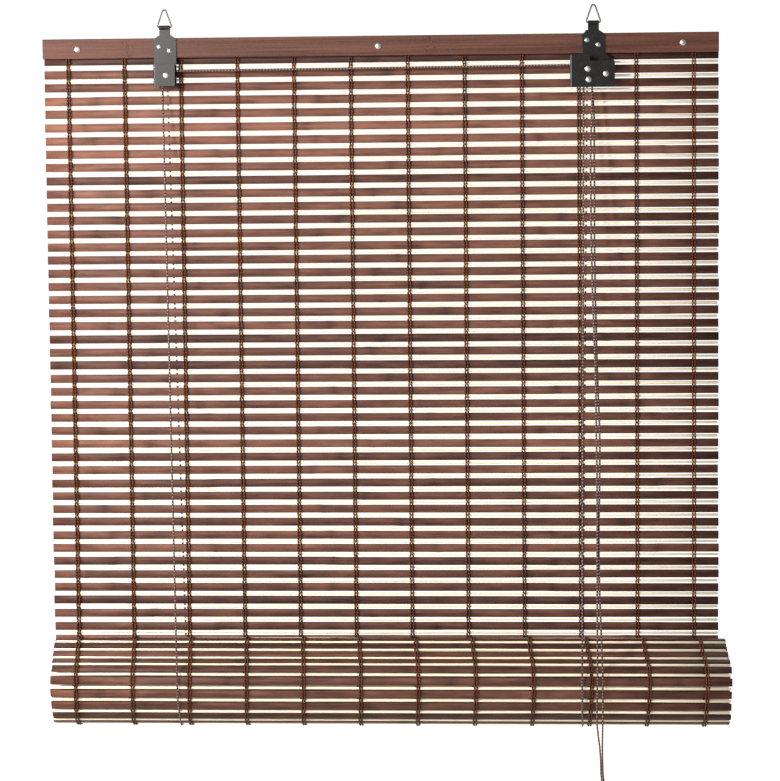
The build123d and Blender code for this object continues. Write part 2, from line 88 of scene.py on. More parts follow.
PULL_UPPER = {
    "pull_cord_a_upper": [
        (0.2515, -0.0072, -0.0973), (0.2512, -0.0110, -0.1221), (0.2490, -0.0168, -0.1688),
        (0.2493, -0.0234, -0.2213), (0.2497, -0.0299, -0.2737), (0.2506, -0.0371, -0.3319),
        (0.2528, -0.0443, -0.3901), (0.2542, -0.0508, -0.4423), (0.2545, -0.0573, -0.4945),
        (0.2551, -0.0645, -0.5524), (0.2552, -0.0717, -0.6102), (0.2548, -0.0789, -0.6679),
        (0.2547, -0.0853, -0.7199), (0.2548, -0.0910, -0.7660), (0.2545, -0.0932, -0.7860),
    ],
    "pull_cord_b_upper": [
        (0.2515, -0.0030, -0.0973), (0.2541, -0.0063, -0.1221), (0.2536, -0.0124, -0.1689),
        (0.2538, -0.0192, -0.2214), (0.2533, -0.0260, -0.2739), (0.2540, -0.0336, -0.3321),
        (0.2552, -0.0412, -0.3902), (0.2564, -0.0480, -0.4425), (0.2587, -0.0548, -0.4947),
        (0.2583, -0.0624, -0.5526), (0.2569, -0.0698, -0.6104), (0.2571, -0.0772, -0.6681),
        (0.2588, -0.0842, -0.7199), (0.2606, -0.0900, -0.7660), (0.26075, -0.0922, -0.7860),
    ],
}
PULL_LOWER = {
    "pull_cord_a_lower": [
        (0.2545, -0.0932, -0.7862), (0.2542, -0.0954, -0.8064), (0.2533, -0.0958, -0.8359),
        (0.2572, -0.0959, -0.8607), (0.2582, -0.0957, -0.8832), (0.2584, -0.0958, -0.9021),
    ],
    "pull_cord_b_lower": [
        (0.26075, -0.0922, -0.7862), (0.2609, -0.0945, -0.8064), (0.2605, -0.0946, -0.8359),
        (0.2599, -0.0943, -0.8607), (0.2603, -0.0942, -0.8832), (0.2608, -0.0944, -0.9021),
    ],
}


def linear(code):
    """An sRGB hex colour as linear red, green and blue."""
    srgb = np.array([int(code[i : i + 2], 16) for i in (1, 3, 5)]) / 255
    low, high = srgb / 12.92, ((srgb + 0.055) / 1.055) ** 2.4
    return tuple(float(v) for v in np.where(srgb <= 0.04045, low, high))


def colour(name, description, code):
    """A colour property with an sRGB hex default."""
    return bpy.props.FloatVectorProperty(
        name=name, description=description, subtype="COLOR", size=3, min=0, max=1,
        default=linear(code),
    )


def length(name, description, metres):
    """A length property with its default in metres."""
    return bpy.props.FloatProperty(
        name=name, description=description, default=metres, unit="LENGTH", precision=5
    )


class BlindWeave(bpy.types.PropertyGroup):
    slat_width: length("Slat width", "Height of one slat in the hanging sheet", 0.0099)
    slat_thick: length("Slat thickness", "Thickness of one slat", 0.0020)
    pitch: length("Weave pitch", "Distance from one slat to the next", 0.0158)
    stick_dia: length("Stick diameter", "Diameter of the round sticks", 0.0032)
    strand_dia: length("Warp strand diameter", "Diameter of one strand of a warp cord", 0.0021)
    warp_gap: length("Warp gap", "Distance between the two strands on a slat", 0.0033)
    slat_count: bpy.props.IntProperty(
        name="Hanging slats", description="Slats above the roll", default=49
    )
    wobble: length("Wobble", "How far a slat's edge strays from a straight line", 0.00028)


class BlindRoll(bpy.types.PropertyGroup):
    radius: length("Radius", "Radius of the outer turn at its roundest", 0.0493)
    dent: length("Dent", "Depth of the slope above the front", 0.0174)
    dent_at: bpy.props.FloatProperty(
        name="Dent place", description="Degrees above the front", default=67.3
    )
    dent_spread: bpy.props.FloatProperty(
        name="Dent spread", description="Half width of the slope in degrees", default=45.0
    )
    crest: length("Crest", "How far the crest stands out against the sheet", 0.0068)
    sag: length("Sag", "How far the roll's underside hangs down", 0.0022)
    front_stick: bpy.props.FloatProperty(
        name="Front stick", description="Angle of one stick at the front, degrees", default=-1.9
    )
    turn_pitch: length("Turn pitch", "How far each turn lies inside the last", 0.0113)
    shift: length("Shift", "How far the roll has wandered to the right", 0.0090)


class BlindCords(bpy.types.PropertyGroup):
    diameter: length("Cord diameter", "Diameter of the lift and pull cords", 0.0022)
    braid_pitch: length("Braid pitch", "Length of one repeat of the braid", 0.0076)
    coil_radius: length("Coil radius", "Radius of the coil's outermost turn", 0.0168)


class BlindColours(bpy.types.PropertyGroup):
    slat_dark: colour("Slat, dark grain", "Stained bamboo in the dark fibres", "#3f241c")
    slat_mid: colour("Slat", "Stained bamboo", "#674134")
    slat_light: colour("Slat, light grain", "Stained bamboo in the light fibres", "#8b5c4a")
    stick: colour("Stick", "Bleached bamboo stick", "#fff1d6")
    stick_shade: colour("Stick, shade", "Darker fibres of a stick", "#e2cb98")
    strand: colour("Warp strand", "Twisted warp thread", "#4b1d11")
    # The gold ply's colour; near the sticks more of it shows, as a painted glint.
    strand_gold_and_glint: colour("Warp glint", "The gold ply in a warp thread", "#b08247")
    rail_dark: colour("Rail, dark grain", "Stained rail wood in the dark grain", "#46271d")
    rail_light: colour("Rail, light grain", "Stained rail wood in the light grain", "#74493a")
    enamel: colour("Enamel", "Black enamel on the brackets", "#0d0b0a")
    enamel_scuff: colour("Scuffed enamel", "Enamel where it is scuffed", "#211f1d")
    # bare steel, also laid along the enamelled edges as a painted highlight
    bare_steel_and_edge_highlight: colour("Worn edge", "Steel where the enamel has rubbed off", "#6a6662")
    zinc: colour("Zinc", "Bright zinc plating", "#e8e6e2")
    brass: colour("Pulley", "Brass pulley wheels", "#c3a063")
    cord: colour("Cord", "Braided cord", "#3f2422")
    # painted shade in the braid's hollows
    cord_hollow_shade: colour("Cord, dark", "Hollows of the braid", "#241312")
    cord_fleck: colour("Cord fleck", "Light yarns of the braid", "#e3c0b0")
    floor: colour("Floor", "Matt paint on the stage floor", "#e6e4e0")


# ---- Surfaces ----
FULL_TURN = 2 * np.pi


def sweep_faces(count, stations, sides):
    """Quads between neighbouring rings and one face over each end, for `count` separate sweeps."""
    ring = np.arange(sides)
    start = np.arange(stations - 1)[:, None] * sides
    here, after = start + ring, start + (ring + 1) % sides
    quads = np.stack([here, after, after + sides, here + sides], axis=-1).reshape(-1, 4)
    offset = np.arange(count) * stations * sides
    quads = (quads[None] + offset[:, None, None]).reshape(-1, 4)
    first = ring[::-1] + offset[:, None]
    last = (stations - 1) * sides + ring + offset[:, None]
    return quads.tolist() + np.concatenate([first, last]).tolist()


def sweep_piece(name, rings, material, body, values=None):
    """A mesh from rings of points, an array of (sweeps, stations, sides, 3). The UV map holds
    the distance along the sweep in metres and the share of the way round it. `values` are
    attributes with one number for each ring or each point."""
    count, stations, sides = rings.shape[:3]
    mesh = bpy.data.meshes.new(name)
    mesh.from_pydata(rings.reshape(-1, 3).tolist(), [], sweep_faces(count, stations, sides))
    step = np.linalg.norm(np.diff(rings.mean(axis=2), axis=1), axis=-1)
    along = np.concatenate([np.zeros((count, 1)), np.cumsum(step, axis=1)], axis=1)
    near, far = along[:, :-1, None], along[:, 1:, None]
    left = np.arange(sides) / sides
    right = left + 1 / sides
    near, far, left, right = np.broadcast_arrays(near, far, left, right)
    corners = np.stack([near, left, near, right, far, right, far, left], axis=-1)
    caps = np.zeros((count * 2 * sides, 2))
    caps[:, 0] = np.repeat(np.concatenate([along[:, 0], along[:, -1]]), sides)
    layer = mesh.uv_layers.new(name="UVMap")
    layer.data.foreach_set("uv", np.concatenate([corners.reshape(-1), caps.reshape(-1)]))
    for key, value in (values or {}).items():
        spread = np.broadcast_to(value, (count, stations, sides)).reshape(-1)
        attribute = mesh.attributes.new(key, "FLOAT", "POINT")
        attribute.data.foreach_set("value", spread.astype(np.float32))
    flags = np.full(len(mesh.polygons), True)
    flags[-2 * count :] = False
    mesh.polygons.foreach_set("use_smooth", flags)
    mesh.materials.append(material)
    mesh.update()
    piece = bpy.data.objects.new(name, mesh)
    bpy.context.collection.objects.link(piece)
    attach(piece, body)
    return piece


def tube_rings(centres, radius, sides, across):
    """Rings round a path: centre + radius * (cos(turn) * first + sin(turn) * second), where
    first is `across` less its part along the path and second is the path's direction crossed
    with first."""
    direction = np.gradient(centres, axis=-2)
    direction /= np.linalg.norm(direction, axis=-1, keepdims=True)
    first = across - (direction @ np.array(across, float))[..., None] * direction
    first /= np.linalg.norm(first, axis=-1, keepdims=True)
    second = np.cross(direction, first)
    turn = (FULL_TURN * np.arange(sides) / sides)[:, None]
    reach = np.broadcast_to(radius, centres.shape[:-1])[..., None, None]
    around = np.cos(turn) * first[..., None, :] + np.sin(turn) * second[..., None, :]
    return centres[..., None, :] + reach * around


def smooth_route(points, steps):
    """The points along a NURBS curve that has the route's points as its control points."""
    curve = bpy.data.curves.new("route", "CURVE")
    curve.dimensions = "3D"
    spline = curve.splines.new("NURBS")
    spline.points.add(len(points) - 1)
    flat = np.ones((len(points), 4))
    flat[:, :3] = points
    spline.points.foreach_set("co", flat.reshape(-1))
    spline.order_u = 3
    spline.use_endpoint_u = True
    spline.resolution_u = steps
    holder = bpy.data.objects.new("route", curve)
    line = bpy.data.meshes.new_from_object(holder)
    found = np.empty(len(line.vertices) * 3)
    line.vertices.foreach_get("co", found)
    bpy.data.objects.remove(holder)
    bpy.data.meshes.remove(line)
    bpy.data.curves.remove(curve)
    return found.reshape(-1, 3)


SLAT_LENGTH = 0.8
SLAT_EDGE = 0.00055
SLAT_CROWN = 0.00012
FIRST_NODE = (0.035, 0.215)
SLAT_NODE_STEP = 0.265
NODE_STATIONS = np.array([-0.011, -0.004, 0.0, 0.004, 0.011])
NODE_SPREAD = 0.0050
PAST_NODE = 0.13  # from a node's last station to the plain one before the next node
SLAT_END_STRAY = 0.0003
STICK_END_STRAY = 0.0004
STICK_DRIFT = 0.00012


def slat_rings(centres, outward, left, right, seed, weave):
    """Slats along X. The section is a flat oval-cornered strip: thickness along `outward`,
    width across it. Three nodes on each slat swell it by a bell of the distance from the
    node, and its edges stray by a smooth random amount. centres and outward are (slats, 2)
    arrays of y and z. Returns the rings, a tone for each slat and a node mark for each ring."""
    rng = np.random.default_rng(seed)
    count = len(centres)
    node = rng.uniform(*FIRST_NODE, (count, 1)) + np.arange(3) * SLAT_NODE_STEP
    stations = (node[:, :, None] + NODE_STATIONS).reshape(count, -1)
    ends = np.array([0.0, SLAT_LENGTH]) + np.zeros((count, 1))
    between = stations[:, [4, 9]] + PAST_NODE
    x = np.sort(np.concatenate([ends, stations, between], axis=1), axis=1)
    gap = np.abs(x[:, :, None] - node[:, None, :]).min(axis=2)
    mark = np.exp(-((gap / NODE_SPREAD) ** 2))
    start = left + rng.normal(0, SLAT_END_STRAY, (count, 1))
    finish = right + rng.normal(0, SLAT_END_STRAY, (count, 1))
    x = start + (finish - start) * x / SLAT_LENGTH
    stray = rng.normal(0, 1, (count, x.shape[1])).cumsum(axis=1) * 0.35
    stray = (stray - stray.mean(axis=1, keepdims=True)) * weave.wobble
    wide = weave.slat_width / 2 * (1 + rng.normal(0, 0.012, (count, 1)) + 0.022 * mark)
    thick = weave.slat_thick / 2 * (1 + 0.13 * mark)
    # Eight points of the section, in shares of the half thickness and half width.
    side_out = np.array([1, 1, 1, 0, -1, -1, -1, 0])
    across = np.array([-1, 0, 1, 1, 1, 0, -1, -1])
    crown = np.array([0, 1, 0, 0, 0, -1, 0, 0]) * SLAT_CROWN
    pull_in = np.array([1, 0, 1, 0, 1, 0, 1, 0]) * SLAT_EDGE
    depth = side_out * thick[..., None] + crown
    width = across * (wide[..., None] - pull_in) + stray[..., None]
    n = outward[:, None, None, :]
    s = np.stack([-outward[:, 1], outward[:, 0]], axis=-1)[:, None, None, :]
    yz = centres[:, None, None, :] + depth[..., None] * n + width[..., None] * s
    along = np.broadcast_to(x[:, :, None, None], (*depth.shape, 1))
    rings = np.concatenate([along, yz], axis=-1)
    tone = np.broadcast_to(rng.normal(0, 1, (count, 1)), x.shape)
    return rings, tone[..., None], mark[..., None]


def stick_rings(centres, left, right, seed, dia):
    """Round sticks along X whose middle line and radius wander a little."""
    rng = np.random.default_rng(seed)
    count, stations = len(centres), 9
    start = left + rng.normal(0, STICK_END_STRAY, (count, 1))
    finish = right + rng.normal(0, STICK_END_STRAY, (count, 1))
    x = start + (finish - start) * np.linspace(0, 1, stations)
    drift = rng.normal(0, STICK_DRIFT, (count, stations, 2))
    middle = np.concatenate([x[..., None], centres[:, None, :] + drift], axis=-1)
    radius = dia / 2 * (1 + rng.normal(0, 0.05, (count, stations)))
    tone = np.broadcast_to(rng.normal(0, 1, (count, 1)), x.shape)
    return tube_rings(middle, radius, 7, (0, 1, 0)), tone[..., None]


# ---- Materials ----
METRE = 1000.0  # in millimetres
NODE_STEP = 0.36  # between the nodes of a rail lath
NODE_BAND = 0.010  # half a node's mottled band


def feed(node, inputs):
    """Sets a node's sockets from numbers and linear colours, or links them from outputs."""
    for key, value in inputs.items():
        socket = node.inputs[key]
        if isinstance(value, bpy.types.NodeSocket):
            node.id_data.links.new(value, socket)
        elif socket.type == "RGBA":
            socket.default_value = (*value, 1.0)
        else:
            socket.default_value = value


def add_node(tree, kind, inputs=(), output=0, stops=(), **own):
    """Adds a shader node and returns one of its outputs. inputs holds values and outputs for
    the first sockets, or for sockets by name or number. own holds the node's own settings,
    and stops a colour ramp's positions and linear colours."""
    node = tree.nodes.new("ShaderNode" + kind)
    for key, value in own.items():
        setattr(node, key, value)
    for number, (position, tint) in enumerate(stops):
        elements = node.color_ramp.elements
        element = elements[number] if number < len(elements) else elements.new(position)
        element.position, element.color = position, (*tint, 1.0)
    feed(node, inputs if isinstance(inputs, dict) else dict(enumerate(inputs)))
    return node.outputs[output]


def new_material(name):
    """A material with nothing but its shader: the material, a function that adds a node to
    it, and the shader."""
    material = bpy.data.materials.new(name)
    material.use_nodes = True
    tree = material.node_tree
    return material, partial(add_node, tree), tree.nodes["Principled BSDF"]


def streaks(add, long_mm, fine_mm, detail):
    """Noise drawn out along X: features long_mm long and fine_mm across."""
    where = add("TexCoord", output="Object")
    scale = (METRE / long_mm, METRE / fine_mm, METRE / fine_mm)
    placed = add("Mapping", {"Vector": where, "Scale": scale})
    return add("TexNoise", {"Vector": placed, "Scale": 1.0, "Detail": detail, "Roughness": 0.6})


def grains(add, per_metre, detail, roughness=0.5):
    """Even noise with per_metre features in a metre."""
    where = add("TexCoord", output="Object")
    return add(
        "TexNoise",
        {"Vector": where, "Scale": per_metre, "Detail": detail, "Roughness": roughness},
    )


def stained_bamboo(colours, name):
    """Split bamboo, stained and varnished. The eye sees long fibres of differing brown, each
    slat in its own tone, a dark smudge at each node and a soft satin shine. On the roll the
    tone is lowered, as painted shade. The fibres are drawn about twice as coarse as they are, so
    that they show."""
    material, add, shader = new_material(name)
    fibre = streaks(add, 70, 1.6, 4.0)
    blotch = streaks(add, 38, 9.0, 2.0)
    level = add("Math", (fibre, 0.75, -0.25), operation="MULTIPLY_ADD")
    level = add("Math", (blotch, 0.75, level), operation="MULTIPLY_ADD")
    # each slat's own tone, lowered on the roll for painted shade
    tone = add("Attribute", output="Fac", attribute_name="tone")
    level = add("Math", (tone, 0.10, level), operation="MULTIPLY_ADD")
    mark = add("Attribute", output="Fac", attribute_name="node_mark")
    level = add("Math", (mark, -0.16, level), operation="MULTIPLY_ADD")
    stops = [(0.18, colours.slat_dark), (0.50, colours.slat_mid), (0.82, colours.slat_light)]
    feed(shader, {
        "Base Color": add("ValToRGB", [level], stops=stops),
        "Roughness": add("Math", (fibre, 0.25, 0.42), operation="MULTIPLY_ADD"),
        "Specular IOR Level": 0.3,
        "Normal": add("Bump", {"Height": fibre, "Strength": 0.7, "Distance": 0.00025}),
    })
    return material


def bleached_stick(colours, name):
    """Bleached bamboo splints. Nearly white, matt, with a few straw-coloured fibres. Thin
    enough for daylight to come through; that light is painted on as a glow, each stick giving off
    its own colour as light."""
    material, add, shader = new_material(name)
    fibre = streaks(add, 45, 1.5, 3.0)
    tone = add("Attribute", output="Fac", attribute_name="tone")
    level = add("Math", (tone, 0.06, fibre), operation="MULTIPLY_ADD")
    stops = [(0.20, colours.stick_shade), (0.40, colours.stick)]
    shade = add("ValToRGB", [level], stops=stops)
    feed(shader, {
        "Base Color": shade,
        # painted glow: the stick's own colour is given off as light
        "Emission Color": shade,
        "Emission Strength": 0.16,
        "Roughness": 0.6,
        "Normal": add("Bump", {"Height": fibre, "Strength": 0.6, "Distance": 0.0002}),
    })
    return material


def twisted_thread(colours, name):
    """Twisted thread. Slanting plies with dark lines between them and one gold ply. The gold
    is partly the ply's own colour and partly a painted glint: more of it shows where the thread
    bends over a stick, for the light from behind. The twist, one turn in 3.6 mm, is drawn about
    twice as coarse as it is, so that it shows."""
    material, add, shader = new_material(name)
    map_place = add("TexCoord", output="UV")
    along = add("SeparateXYZ", [map_place])
    run = add("Math", (along, METRE / 3.6), operation="MULTIPLY")
    turn = add("Math", (run, along.node.outputs[1]), operation="ADD")
    share = add("Math", [turn], operation="FRACT")
    # painted glint: near a stick the threshold drops, so more gold shows
    stick_glint = add("Attribute", output="Fac", attribute_name="stick_glint")
    least = add("Math", (stick_glint, -0.32, 0.92), operation="MULTIPLY_ADD")
    gold = add("Math", (share, least), operation="GREATER_THAN")
    angle = add("Math", (turn, FULL_TURN * 3), operation="MULTIPLY")
    ply = add("Math", [angle], operation="SINE")
    feed(shader, {
        "Base Color": add(
            "Mix", {0: gold, 6: colours.strand, 7: colours.strand_gold_and_glint}, 2,
            data_type="RGBA",
        ),
        "Roughness": 0.6,
        "Specular IOR Level": 0.3,
        "Normal": add("Bump", {"Height": ply, "Strength": 0.8, "Distance": 0.00015}),
    })
    return material


def braided_cord(colours, cords, name):
    """Braided cord. Two sets of yarns cross on the slant: the product of a sine of run plus
    turn and a sine of run less turn. Brown, with a light fleck where a pale yarn comes to the
    top, and painted shade in the hollows between the yarns. The braid is drawn about twice its
    real size, so that it shows."""
    material, add, shader = new_material(name)
    map_place = add("TexCoord", output="UV")
    along = add("SeparateXYZ", [map_place])
    run = add("Math", (along, 1 / cords.braid_pitch), operation="MULTIPLY")
    around = add("Math", (along.node.outputs[1], 2.0), operation="MULTIPLY")
    waves = []
    for way in ("ADD", "SUBTRACT"):
        slant = add("Math", (run, around), operation=way)
        angle = add("Math", (slant, FULL_TURN), operation="MULTIPLY")
        waves.append(add("Math", [angle], operation="SINE"))
    cross = add("Math", waves, operation="MULTIPLY")
    fleck = add("Math", (cross, 0.52), operation="GREATER_THAN")
    fleck = add("Math", (fleck, 0.75), operation="MULTIPLY")
    shade = add("Mix", {0: fleck, 6: colours.cord, 7: colours.cord_fleck}, 2, data_type="RGBA")
    # painted shade: the hollows between the yarns are drawn darker
    dark = add("Math", (cross, -0.45), operation="LESS_THAN")
    dark = add("Math", (dark, 0.5), operation="MULTIPLY")
    height = add("Math", (cross, 0.5), operation="MULTIPLY")
    feed(shader, {
        "Base Color": add("Mix", {0: dark, 6: shade, 7: colours.cord_hollow_shade}, 2, data_type="RGBA"),
        "Roughness": 0.55,
        "Sheen Weight": 0.1,
        "Normal": add("Bump", {"Height": height, "Strength": 0.8, "Distance": 0.0003}),
    })
    return material


def rail_wood(colours):
    """Planed laths, stained and varnished. Long straight grain that follows the rail, fine
    specks, and a mottled band at each node, where the share of NODE_STEP is near a half."""
    material, add, shader = new_material("rail wood, planed, stained and varnished")
    grain = streaks(add, 160, 2.2, 5.0)
    wide = streaks(add, 260, 8.0, 2.0)
    level = add("Math", (grain, 0.9, -0.425), operation="MULTIPLY_ADD")
    level = add("Math", (wide, 0.6, level), operation="MULTIPLY_ADD")
    where = add("TexCoord", output="Object")
    across = add("SeparateXYZ", [where])
    count = add("Math", (across, 1 / NODE_STEP, 1.33), operation="MULTIPLY_ADD")
    share = add("Math", [count], operation="FRACT")
    off = add("Math", (share, 0.5), operation="SUBTRACT")
    off = add("Math", [off], operation="ABSOLUTE")
    steep = -NODE_STEP / NODE_BAND
    band = add("Math", (off, steep, 1.0), operation="MULTIPLY_ADD", use_clamp=True)
    speck = grains(add, 700.0, 2.0)
    mottle = add("Math", (speck, 1.3, -0.728), operation="MULTIPLY_ADD")
    level = add("Math", (band, mottle, level), operation="MULTIPLY_ADD")
    level = add("Math", (speck, 0.35, level), operation="MULTIPLY_ADD")
    stops = [(0.30, colours.rail_dark), (0.72, colours.rail_light)]
    feed(shader, {
        "Base Color": add("ValToRGB", [level], stops=stops),
        "Roughness": add("Math", (grain, 0.25, 0.42), operation="MULTIPLY_ADD"),
        "Specular IOR Level": 0.3,
        "Normal": add("Bump", {"Height": grain, "Strength": 0.6, "Distance": 0.0003}),
    })
    return material


def black_enamel(colours):
    """Folded sheet steel, enamelled black. A soft gloss with faint orange peel, fine scuffs
    and a grey along the edges, partly bare steel where the enamel is rubbed and partly a
    painted edge highlight: one less the dot product of the bevelled and the flat normal, times the
    scuffs."""
    material, add, shader = new_material("steel sheet, folded and black enamelled")
    scuff = grains(add, 420.0, 5.0, 0.65)
    peel = grains(add, 900.0, 1.0)
    rounded = add("Bevel", {"Radius": 0.00045}, samples=4)
    flat = add("NewGeometry", output="Normal")
    same = add("VectorMath", (rounded, flat), "Value", operation="DOT_PRODUCT")
    edge = add("Math", (same, -4.0, 4.0), operation="MULTIPLY_ADD")
    rubbed = add("Math", (scuff, 3.0, -1.1), operation="MULTIPLY_ADD")
    # edge grey: partly worn enamel, partly painted edge highlight
    worn_and_highlit = add("Math", (edge, rubbed), operation="MULTIPLY", use_clamp=True)
    worn_and_highlit = add("Math", (worn_and_highlit, 0.7), operation="MULTIPLY")
    stops = [(0.40, colours.enamel), (0.85, colours.enamel_scuff)]
    dusty = add("ValToRGB", [scuff], stops=stops)
    feed(shader, {
        "Base Color": add(
            "Mix", {0: worn_and_highlit, 6: dusty, 7: colours.bare_steel_and_edge_highlight}, 2, data_type="RGBA"
        ),
        "Roughness": add("Math", (scuff, 0.35, 0.2), operation="MULTIPLY_ADD"),
        "Normal": add(
            "Bump",
            {"Height": peel, "Normal": rounded, "Strength": 0.25, "Distance": 0.0002},
        ),
    })
    return material


def bright_metal(tint, name, rough):
    """Plated, drawn or turned metal. Bright, with a cloudy, uneven polish and slightly
    rounded edges."""
    material, add, shader = new_material(name)
    cloud = grains(add, 600.0, 4.0)
    dull = tuple(v * 0.7 for v in tint)
    stops = [(0.30, dull), (0.62, tint)]
    rounded = add("Bevel", {"Radius": 0.0003}, samples=4)
    feed(shader, {
        "Base Color": add("ValToRGB", [cloud], stops=stops),
        "Metallic": 1.0,
        "Roughness": add("Math", (cloud, 0.25, rough), operation="MULTIPLY_ADD"),
        "Normal": add(
            "Bump",
            {"Height": cloud, "Normal": rounded, "Strength": 0.2, "Distance": 0.0001},
        ),
    })
    return material


def finish_node(name, material):
    """Gives a CAD node a better material."""
    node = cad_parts[name]
    for place in node.material_slots:
        place.material = material


def settings(context):
    """The blind's four property groups."""
    scene = context.scene
    return scene.blind_weave, scene.blind_roll, scene.blind_cords, scene.blind_colours


SHARED = {
    stained_bamboo: "bamboo slat, split, stained and varnished",
    bleached_stick: "bamboo stick, bleached and split",
    twisted_thread: "warp thread, twisted polyester with a gold ply",
    braided_cord: "cord, braided polyester",
}


def shared(make, *sources):
    """The material that a function makes, made the first time it is asked for."""
    return bpy.data.materials.get(SHARED[make]) or make(*sources, SHARED[make])


# ---- The weave ----
SHEET_Y = 0.012
RAIL_BOTTOM_Z = -0.0555
FIRST_SLAT_TOP = -0.0375
HALF_WIDTH = 0.400
WARP_X = -0.371 + 0.0674545 * np.arange(12)
STICK_BELOW_TOP = 0.0126  # from a slat's top edge to the stick under it
STICK_SHARE = 0.797  # the same as a share of the pitch
# spread of the painted glint round each stick, in pitches
STICK_GLINT_SPREAD = 0.10
STRAND_WANDER = 0.00022
HANGING_TRIM = 0.0008  # how much shorter a stick is at each end than the slats
ROLLED_TRIM = 0.0012


def strand_offsets(weave, phase):
    """Offsets of a warp strand at the share `phase` of one weave pitch, counted from a slat's
    top edge: how far it lies off the sheet's middle plane, and how far from the warp's centre
    line. It lies flat on the slat, dips into the gap and is pinched over the stick."""
    marks = np.array([0.0, 0.03, 0.30, 0.565, 0.66, 0.735, 0.797, 0.86, 0.93, 1.0])
    slat = weave.slat_thick / 2 + weave.strand_dia / 2
    stick = weave.stick_dia / 2 + weave.strand_dia / 2
    off = np.array([slat * 0.93, slat, slat * 1.02, slat, slat * 0.9, stick * 0.96, stick,
                    stick * 0.96, slat * 0.88, slat * 0.93])
    half = weave.warp_gap / 2
    apart = np.array([0.93, 0.98, 1.0, 0.97, 0.87, 0.76, 0.72, 0.76, 0.86, 0.93]) * half
    return np.interp(phase, marks, off), np.interp(phase, marks, apart)


STATION_SHARES = np.array([0.03, 0.30, 0.565, 0.70, 0.797, 0.90])


def stick_glint_share(shares):
    """How near each station lies to a stick, from 0 on a slat to 1: a bell of the share of
    the pitch between them. It sets where the warps' painted glint shows."""
    away = (shares % 1.0 - STICK_SHARE) / STICK_GLINT_SPREAD
    return np.exp(-(away**2))[None, :, None]


def warp_paths(weave, shares, middle, outward, shift, seed):
    """Paths of the warps' strands, two on each face of the sheet: middle + side * off *
    outward in y and z, and the warp's place + side * apart + shift in x. shares are the
    stations in pitches."""
    rng = np.random.default_rng(seed)
    off, apart = strand_offsets(weave, shares % 1.0)
    sides = np.array([-1.0, 1.0])
    x = WARP_X[:, None, None, None] + sides[:, None] * apart + shift
    x = x + rng.normal(0, STRAND_WANDER, (len(WARP_X), 2, 2, len(shares)))
    yz = middle + (sides[:, None, None] * off)[..., None] * outward
    path = np.concatenate([x[..., None], np.broadcast_to(yz, (*x.shape, 2))], axis=-1)
    return path.reshape(-1, len(shares), 3)


class BLIND_OT_hanging_weave(bpy.types.Operator):
    """Slats, sticks and warp cords of the flat part of the sheet."""

    bl_idname = "blind.hanging_weave"
    bl_label = "Hanging weave"

    def execute(self, context):
        weave, _, _, colours = settings(context)
        index = np.arange(weave.slat_count)
        top = FIRST_SLAT_TOP - weave.pitch * index
        front = np.tile([-1.0, 0.0], (len(index), 1))
        level = np.full(len(index), SHEET_Y)
        places = np.stack([level, top - weave.slat_width / 2], axis=1)
        rings, tone, mark = slat_rings(places, front, -HALF_WIDTH, HALF_WIDTH, 11, weave)
        slats = sweep_piece(
            "hanging_slats", rings, shared(stained_bamboo, colours), "frame",
            values={"tone": tone, "node_mark": mark},
        )
        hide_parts("flat_slats")
        places = np.stack([level, top - STICK_BELOW_TOP], axis=1)
        reach = HALF_WIDTH - HANGING_TRIM
        rings, tone = stick_rings(places, -reach, reach, 12, weave.stick_dia)
        sticks = sweep_piece(
            "hanging_sticks", rings, shared(bleached_stick, colours), "frame",
            values={"tone": tone},
        )
        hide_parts("flat_sticks")
        shares = (index[:, None] + STATION_SHARES).reshape(-1)
        z = FIRST_SLAT_TOP - weave.pitch * shares
        middle = np.stack([np.full(len(z), SHEET_Y), z], axis=1)
        path = warp_paths(weave, shares, middle, np.array([1.0, 0.0]), 0.0, 13)
        rings = tube_rings(path, weave.strand_dia / 2, 6, (0, 1, 0))
        warps = sweep_piece(
            "hanging_warps", rings, shared(twisted_thread, colours), "frame",
            values={"stick_glint": stick_glint_share(shares)},
        )
        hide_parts(*[f"warp_{n:02d}" for n in range(1, 13)])
        for piece in (slats, sticks, warps):
            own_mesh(piece)
        return {"FINISHED"}


ROLL_AXIS = np.array([-0.0405, -0.7933])
# Angles are in degrees upwards from the front. A bell is its height, its place and its spread.
ROLL_START = -160.0
ROLL_END = 1320.0
ROLL_POINTS = 14000
CREST = (126, 20)
SAG = (-98, 34)
BACK_HOLLOW = (0.0012, 180, 26)
FRONT_HOLLOW = (0.0042, -20.4, 24)
TAIL = (0.0063, ROLL_START, 34)
ROUND_FROM, ROUND_OVER, LEAST_SHAPE = 480, 600, 0.3
WIND_FROM = 135
CORE_RADIUS = 0.0168
ROLL_PAINTED_SHADE = 1.3  # painted shade: how much darker the rolled slats are drawn, in tones
ROLL_GLINT = 0.4  # how much of the painted glint near the sticks shows on the roll


def bell(angle, height, place, spread):
    """height * exp of minus the square of the distance from place in spreads."""
    return height * np.exp(-(((angle - place) / spread) ** 2))


